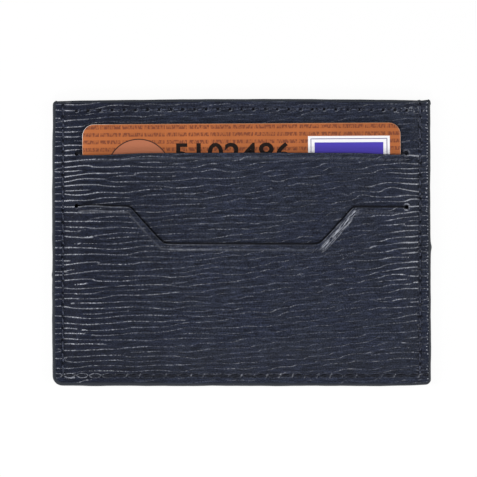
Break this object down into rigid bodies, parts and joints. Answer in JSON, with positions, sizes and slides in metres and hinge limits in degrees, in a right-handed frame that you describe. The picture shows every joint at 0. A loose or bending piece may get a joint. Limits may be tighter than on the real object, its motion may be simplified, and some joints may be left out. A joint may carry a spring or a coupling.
{
  "type": "card holder",
  "caption": "Flat ridge-grained leather card holder with a straight slit pocket, a stepped thumb-notch slit pocket, an open centre pocket and a removable sample card.",
  "frame": {"origin": "middle of the back face, which lies on the table", "axes": "+X to the right across the front, +Y towards the pocket mouths and the top edge, +Z out of the front face"},
  "size_m": [0.1014, 0.077, 0.006],
  "materials": {
    "navy_leather": "glazed ridge grain with a soft sheen",
    "pocket_lining": "matte close weave",
    "sewing_thread": "twisted and waxed",
    "edge_paint": "smooth satin",
    "card_plastic": "laminated gloss print"
  },
  "bodies": {
    "holder": {"front_panel": "navy_leather", "back_panel": "navy_leather", "lower_pocket_lining": "pocket_lining", "upper_pocket_lining": "pocket_lining", "front_lining": "pocket_lining", "back_lining": "pocket_lining", "seam_needle_thread": "sewing_thread", "seam_bobbin_thread": "sewing_thread", "front_hem_needle_thread": "sewing_thread", "front_hem_bobbin_thread": "sewing_thread", "back_hem_needle_thread": "sewing_thread", "back_hem_bobbin_thread": "sewing_thread", "pocket_stop_thread": "sewing_thread", "edge_coat_sides": "edge_paint", "edge_coat_front_top": "edge_paint", "edge_coat_back_top": "edge_paint", "upper_lip_coat": "edge_paint", "lower_lip_coat": "edge_paint"},
    "card": {"sample_card": "card_plastic"}
  },
  "joints": [
    {"name": "card_slide", "type": "slide", "parent": "holder", "child": "card", "axis": [0, 1, 0], "range_m": [0, 0.0615]}
  ]
}
